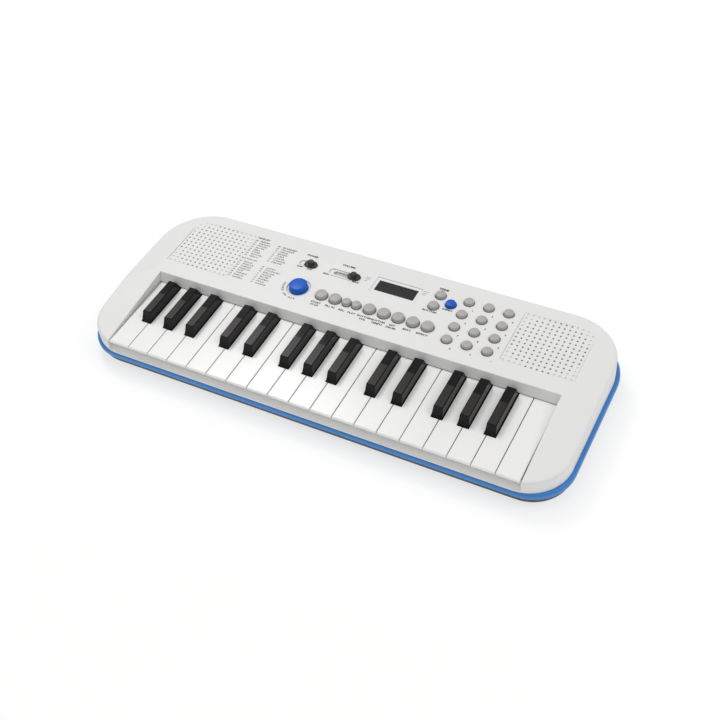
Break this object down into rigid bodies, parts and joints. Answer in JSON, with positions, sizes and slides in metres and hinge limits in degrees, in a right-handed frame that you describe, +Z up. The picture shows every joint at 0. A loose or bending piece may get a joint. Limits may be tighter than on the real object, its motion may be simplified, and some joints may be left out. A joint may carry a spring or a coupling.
{
  "type": "toy electronic keyboard",
  "caption": "Battery toy keyboard with hinged mini piano keys, a blue tray, twin speaker grilles, slide knobs, push buttons and a small display window.",
  "frame": {"origin": "centre of the footprint, on the plane the rubber feet stand on", "axes": "+X along the keyboard towards the high notes, +Y from the player to the rear, +Z up"},
  "size_m": [0.446, 0.179, 0.0418],
  "materials": {
    "white_shell": "satin moulded",
    "blue_tray": "satin moulded",
    "white_key": "gloss",
    "black_key": "gloss",
    "grey_button": "satin",
    "blue_button": "gloss",
    "black_knob": "satin",
    "smoked_window": "gloss, dark tint",
    "led_module": "matte",
    "circuit_board": "lacquered",
    "contact_rubber": "matte",
    "speaker_body": "matte",
    "cell_jacket": "printed jacket",
    "contact_metal": "plated spring steel",
    "screw_steel": "zinc plated",
    "foot_rubber": "matte"
  },
  "bodies": {
    "case": {"top_case": "white_shell", "bottom_case": "blue_tray", "display_window": "smoked_window", "led_display": "led_module", "circuit_boards": "circuit_board", "rubber_contacts": "contact_rubber", "speakers": "speaker_body", "batteries": "cell_jacket", "battery_contacts": "contact_metal", "screws": "screw_steel", "rubber_feet": "foot_rubber"},
    "battery_door": {"battery_door": "blue_tray"},
    "chord_button": {"chord_button": "blue_button"},
    "power_knob": {"power_knob": "black_knob"},
    "volume_knob": {"volume_knob": "black_knob"},
    "number_buttons": {"number_buttons": "grey_button"},
    "start_button": {"start_button": "grey_button"},
    "fill_button": {"fill_button": "grey_button"},
    "record_button": {"record_button": "grey_button"},
    "play_button": {"play_button": "grey_button"},
    "rhythm_volume_button": {"rhythm_volume_button": "grey_button"},
    "rhythm_tempo_button": {"rhythm_tempo_button": "grey_button"},
    "key_drum_button": {"key_drum_button": "grey_button"},
    "beat_button": {"beat_button": "grey_button"},
    "effect_button": {"effect_button": "grey_button"},
    "tone_button": {"tone_button": "grey_button"},
    "rhythm_button": {"rhythm_button": "grey_button"},
    "demo_button": {"demo_button": "blue_button"},
    "white_key_f3": {"white_key_f3": "white_key"},
    "white_key_g3": {"white_key_g3": "white_key"},
    "white_key_a3": {"white_key_a3": "white_key"},
    "white_key_b3": {"white_key_b3": "white_key"},
    "white_key_c4": {"white_key_c4": "white_key"},
    "white_key_d4": {"white_key_d4": "white_key"},
    "white_key_e4": {"white_key_e4": "white_key"},
    "white_key_f4": {"white_key_f4": "white_key"},
    "white_key_g4": {"white_key_g4": "white_key"},
    "white_key_a4": {"white_key_a4": "white_key"},
    "white_key_b4": {"white_key_b4": "white_key"},
    "white_key_c5": {"white_key_c5": "white_key"},
    "white_key_d5": {"white_key_d5": "white_key"},
    "white_key_e5": {"white_key_e5": "white_key"},
    "white_key_f5": {"white_key_f5": "white_key"},
    "white_key_g5": {"white_key_g5": "white_key"},
    "white_key_a5": {"white_key_a5": "white_key"},
    "white_key_b5": {"white_key_b5": "white_key"},
    "white_key_c6": {"white_key_c6": "white_key"},
    "black_key_f_sharp_3": {"black_key_f_sharp_3": "black_key"},
    "black_key_g_sharp_3": {"black_key_g_sharp_3": "black_key"},
    "black_key_a_sharp_3": {"black_key_a_sharp_3": "black_key"},
    "black_key_c_sharp_4": {"black_key_c_sharp_4": "black_key"},
    "black_key_d_sharp_4": {"black_key_d_sharp_4": "black_key"},
    "black_key_f_sharp_4": {"black_key_f_sharp_4": "black_key"},
    "black_key_g_sharp_4": {"black_key_g_sharp_4": "black_key"},
    "black_key_a_sharp_4": {"black_key_a_sharp_4": "black_key"},
    "black_key_c_sharp_5": {"black_key_c_sharp_5": "black_key"},
    "black_key_d_sharp_5": {"black_key_d_sharp_5": "black_key"},
    "black_key_f_sharp_5": {"black_key_f_sharp_5": "black_key"},
    "black_key_g_sharp_5": {"black_key_g_sharp_5": "black_key"},
    "black_key_a_sharp_5": {"black_key_a_sharp_5": "black_key"}
  },
  "joints": [
    {"name": "battery_door_slide", "type": "slide", "parent": "case", "child": "battery_door", "axis": [0, 1, 0], "range_m": [0, 0.045]},
    {"name": "chord_button_press", "type": "slide", "parent": "case", "child": "chord_button", "axis": [0, 0, -1], "range_m": [0, 0.0012], "stiffness_N_per_m": 350, "springref_m": -0.0012},
    {"name": "control_power_slide", "type": "slide", "parent": "case", "child": "power_knob", "axis": [1, 0, 0], "range_m": [-0.005, 0]},
    {"name": "control_volume_slide", "type": "slide", "parent": "case", "child": "volume_knob", "axis": [1, 0, 0], "range_m": [-0.018, 0]},
    {"name": "tone_button_press", "type": "slide", "parent": "case", "child": "tone_button", "axis": [0, 0, -1], "range_m": [0, 0.0012], "stiffness_N_per_m": 350, "springref_m": -0.0012},
    {"name": "rhythm_button_press", "type": "slide", "parent": "case", "child": "rhythm_button", "axis": [0, 0, -1], "range_m": [0, 0.0012], "stiffness_N_per_m": 350, "springref_m": -0.0012},
    {"name": "demo_button_press", "type": "slide", "parent": "case", "child": "demo_button", "axis": [0, 0, -1], "range_m": [0, 0.0012], "stiffness_N_per_m": 350, "springref_m": -0.0012},
    {"name": "start_button_press", "type": "slide", "parent": "case", "child": "start_button", "axis": [0, 0, -1], "range_m": [0, 0.0012], "stiffness_N_per_m": 350, "springref_m": -0.0012},
    {"name": "fill_button_press", "type": "slide", "parent": "case", "child": "fill_button", "axis": [0, 0, -1], "range_m": [0, 0.0012], "stiffness_N_per_m": 350, "springref_m": -0.0012},
    {"name": "record_button_press", "type": "slide", "parent": "case", "child": "record_button", "axis": [0, 0, -1], "range_m": [0, 0.0012], "stiffness_N_per_m": 350, "springref_m": -0.0012},
    {"name": "play_button_press", "type": "slide", "parent": "case", "child": "play_button", "axis": [0, 0, -1], "range_m": [0, 0.0012], "stiffness_N_per_m": 350, "springref_m": -0.0012},
    {"name": "rhythm_volume_button_press", "type": "slide", "parent": "case", "child": "rhythm_volume_button", "axis": [0, 0, -1], "range_m": [0, 0.0012], "stiffness_N_per_m": 350, "springref_m": -0.0012},
    {"name": "rhythm_tempo_button_press", "type": "slide", "parent": "case", "child": "rhythm_tempo_button", "axis": [0, 0, -1], "range_m": [0, 0.0012], "stiffness_N_per_m": 350, "springref_m": -0.0012},
    {"name": "key_drum_button_press", "type": "slide", "parent": "case", "child": "key_drum_button", "axis": [0, 0, -1], "range_m": [0, 0.0012], "stiffness_N_per_m": 350, "springref_m": -0.0012},
    {"name": "beat_button_press", "type": "slide", "parent": "case", "child": "beat_button", "axis": [0, 0, -1], "range_m": [0, 0.0012], "stiffness_N_per_m": 350, "springref_m": -0.0012},
    {"name": "effect_button_press", "type": "slide", "parent": "case", "child": "effect_button", "axis": [0, 0, -1], "range_m": [0, 0.0012], "stiffness_N_per_m": 350, "springref_m": -0.0012},
    {"name": "number_buttons_press", "type": "slide", "parent": "case", "child": "number_buttons", "axis": [0, 0, -1], "range_m": [0, 0.0012], "stiffness_N_per_m": 350, "springref_m": -0.0012},
    {"name": "a5_key_press", "type": "hinge", "parent": "case", "child": "white_key_a5", "pos_m": [0.14, 0.0155, 0.022], "axis": [1, 0, 0], "range_deg": [0, 1.7], "stiffness_Nm_per_rad": 1.3, "springref_deg": -1.15},
    {"name": "a_sharp_4_key_press", "type": "hinge", "parent": "case", "child": "black_key_a_sharp_4", "pos_m": [0.01, 0.0155, 0.022], "axis": [1, 0, 0], "range_deg": [0, 1.7], "stiffness_Nm_per_rad": 1.3, "springref_deg": -1.15},
    {"name": "e4_key_press", "type": "hinge", "parent": "case", "child": "white_key_e4", "pos_m": [-0.06, 0.0155, 0.022], "axis": [1, 0, 0], "range_deg": [0, 1.7], "stiffness_Nm_per_rad": 1.3, "springref_deg": -1.15},
    {"name": "e5_key_press", "type": "hinge", "parent": "case", "child": "white_key_e5", "pos_m": [0.08, 0.0155, 0.022], "axis": [1, 0, 0], "range_deg": [0, 1.7], "stiffness_Nm_per_rad": 1.3, "springref_deg": -1.15},
    {"name": "f3_key_press", "type": "hinge", "parent": "case", "child": "white_key_f3", "pos_m": [-0.18, 0.0155, 0.022], "axis": [1, 0, 0], "range_deg": [0, 1.7], "stiffness_Nm_per_rad": 1.3, "springref_deg": -1.15},
    {"name": "f4_key_press", "type": "hinge", "parent": "case", "child": "white_key_f4", "pos_m": [-0.04, 0.0155, 0.022], "axis": [1, 0, 0], "range_deg": [0, 1.7], "stiffness_Nm_per_rad": 1.3, "springref_deg": -1.15},
    {"name": "f5_key_press", "type": "hinge", "parent": "case", "child": "white_key_f5", "pos_m": [0.1, 0.0155, 0.022], "axis": [1, 0, 0], "range_deg": [0, 1.7], "stiffness_Nm_per_rad": 1.3, "springref_deg": -1.15},
    {"name": "f_sharp_3_key_press", "type": "hinge", "parent": "case", "child": "black_key_f_sharp_3", "pos_m": [-0.17, 0.0155, 0.022], "axis": [1, 0, 0], "range_deg": [0, 1.7], "stiffness_Nm_per_rad": 1.3, "springref_deg": -1.15},
    {"name": "f_sharp_4_key_press", "type": "hinge", "parent": "case", "child": "black_key_f_sharp_4", "pos_m": [-0.03, 0.0155, 0.022], "axis": [1, 0, 0], "range_deg": [0, 1.7], "stiffness_Nm_per_rad": 1.3, "springref_deg": -1.15},
    {"name": "f_sharp_5_key_press", "type": "hinge", "parent": "case", "child": "black_key_f_sharp_5", "pos_m": [0.11, 0.0155, 0.022], "axis": [1, 0, 0], "range_deg": [0, 1.7], "stiffness_Nm_per_rad": 1.3, "springref_deg": -1.15},
    {"name": "g3_key_press", "type": "hinge", "parent": "case", "child": "white_key_g3", "pos_m": [-0.16, 0.0155, 0.022], "axis": [1, 0, 0], "range_deg": [0, 1.7], "stiffness_Nm_per_rad": 1.3, "springref_deg": -1.15},
    {"name": "g4_key_press", "type": "hinge", "parent": "case", "child": "white_key_g4", "pos_m": [-0.02, 0.0155, 0.022], "axis": [1, 0, 0], "range_deg": [0, 1.7], "stiffness_Nm_per_rad": 1.3, "springref_deg": -1.15},
    {"name": "g5_key_press", "type": "hinge", "parent": "case", "child": "white_key_g5", "pos_m": [0.12, 0.0155, 0.022], "axis": [1, 0, 0], "range_deg": [0, 1.7], "stiffness_Nm_per_rad": 1.3, "springref_deg": -1.15},
    {"name": "g_sharp_3_key_press", "type": "hinge", "parent": "case", "child": "black_key_g_sharp_3", "pos_m": [-0.15, 0.0155, 0.022], "axis": [1, 0, 0], "range_deg": [0, 1.7], "stiffness_Nm_per_rad": 1.3, "springref_deg": -1.15},
    {"name": "g_sharp_4_key_press", "type": "hinge", "parent": "case", "child": "black_key_g_sharp_4", "pos_m": [-0.01, 0.0155, 0.022], "axis": [1, 0, 0], "range_deg": [0, 1.7], "stiffness_Nm_per_rad": 1.3, "springref_deg": -1.15},
    {"name": "g_sharp_5_key_press", "type": "hinge", "parent": "case", "child": "black_key_g_sharp_5", "pos_m": [0.13, 0.0155, 0.022], "axis": [1, 0, 0], "range_deg": [0, 1.7], "stiffness_Nm_per_rad": 1.3, "springref_deg": -1.15},
    {"name": "a3_key_press", "type": "hinge", "parent": "case", "child": "white_key_a3", "pos_m": [-0.14, 0.0155, 0.022], "axis": [1, 0, 0], "range_deg": [0, 1.7], "stiffness_Nm_per_rad": 1.3, "springref_deg": -1.15},
    {"name": "b3_key_press", "type": "hinge", "parent": "case", "child": "white_key_b3", "pos_m": [-0.12, 0.0155, 0.022], "axis": [1, 0, 0], "range_deg": [0, 1.7], "stiffness_Nm_per_rad": 1.3, "springref_deg": -1.15},
    {"name": "c4_key_press", "type": "hinge", "parent": "case", "child": "white_key_c4", "pos_m": [-0.1, 0.0155, 0.022], "axis": [1, 0, 0], "range_deg": [0, 1.7], "stiffness_Nm_per_rad": 1.3, "springref_deg": -1.15},
    {"name": "d4_key_press", "type": "hinge", "parent": "case", "child": "white_key_d4", "pos_m": [-0.08, 0.0155, 0.022], "axis": [1, 0, 0], "range_deg": [0, 1.7], "stiffness_Nm_per_rad": 1.3, "springref_deg": -1.15},
    {"name": "a4_key_press", "type": "hinge", "parent": "case", "child": "white_key_a4", "pos_m": [0, 0.0155, 0.022], "axis": [1, 0, 0], "range_deg": [0, 1.7], "stiffness_Nm_per_rad": 1.3, "springref_deg": -1.15},
    {"name": "b4_key_press", "type": "hinge", "parent": "case", "child": "white_key_b4", "pos_m": [0.02, 0.0155, 0.022], "axis": [1, 0, 0], "range_deg": [0, 1.7], "stiffness_Nm_per_rad": 1.3, "springref_deg": -1.15},
    {"name": "c5_key_press", "type": "hinge", "parent": "case", "child": "white_key_c5", "pos_m": [0.04, 0.0155, 0.022], "axis": [1, 0, 0], "range_deg": [0, 1.7], "stiffness_Nm_per_rad": 1.3, "springref_deg": -1.15},
    {"name": "d5_key_press", "type": "hinge", "parent": "case", "child": "white_key_d5", "pos_m": [0.06, 0.0155, 0.022], "axis": [1, 0, 0], "range_deg": [0, 1.7], "stiffness_Nm_per_rad": 1.3, "springref_deg": -1.15},
    {"name": "b5_key_press", "type": "hinge", "parent": "case", "child": "white_key_b5", "pos_m": [0.16, 0.0155, 0.022], "axis": [1, 0, 0], "range_deg": [0, 1.7], "stiffness_Nm_per_rad": 1.3, "springref_deg": -1.15},
    {"name": "c6_key_press", "type": "hinge", "parent": "case", "child": "white_key_c6", "pos_m": [0.18, 0.0155, 0.022], "axis": [1, 0, 0], "range_deg": [0, 1.7], "stiffness_Nm_per_rad": 1.3, "springref_deg": -1.15},
    {"name": "a_sharp_3_key_press", "type": "hinge", "parent": "case", "child": "black_key_a_sharp_3", "pos_m": [-0.13, 0.0155, 0.022], "axis": [1, 0, 0], "range_deg": [0, 1.7], "stiffness_Nm_per_rad": 1.3, "springref_deg": -1.15},
    {"name": "c_sharp_4_key_press", "type": "hinge", "parent": "case", "child": "black_key_c_sharp_4", "pos_m": [-0.09, 0.0155, 0.022], "axis": [1, 0, 0], "range_deg": [0, 1.7], "stiffness_Nm_per_rad": 1.3, "springref_deg": -1.15},
    {"name": "d_sharp_4_key_press", "type": "hinge", "parent": "case", "child": "black_key_d_sharp_4", "pos_m": [-0.07, 0.0155, 0.022], "axis": [1, 0, 0], "range_deg": [0, 1.7], "stiffness_Nm_per_rad": 1.3, "springref_deg": -1.15},
    {"name": "c_sharp_5_key_press", "type": "hinge", "parent": "case", "child": "black_key_c_sharp_5", "pos_m": [0.05, 0.0155, 0.022], "axis": [1, 0, 0], "range_deg": [0, 1.7], "stiffness_Nm_per_rad": 1.3, "springref_deg": -1.15},
    {"name": "d_sharp_5_key_press", "type": "hinge", "parent": "case", "child": "black_key_d_sharp_5", "pos_m": [0.07, 0.0155, 0.022], "axis": [1, 0, 0], "range_deg": [0, 1.7], "stiffness_Nm_per_rad": 1.3, "springref_deg": -1.15},
    {"name": "a_sharp_5_key_press", "type": "hinge", "parent": "case", "child": "black_key_a_sharp_5", "pos_m": [0.15, 0.0155, 0.022], "axis": [1, 0, 0], "range_deg": [0, 1.7], "stiffness_Nm_per_rad": 1.3, "springref_deg": -1.15}
  ]
}
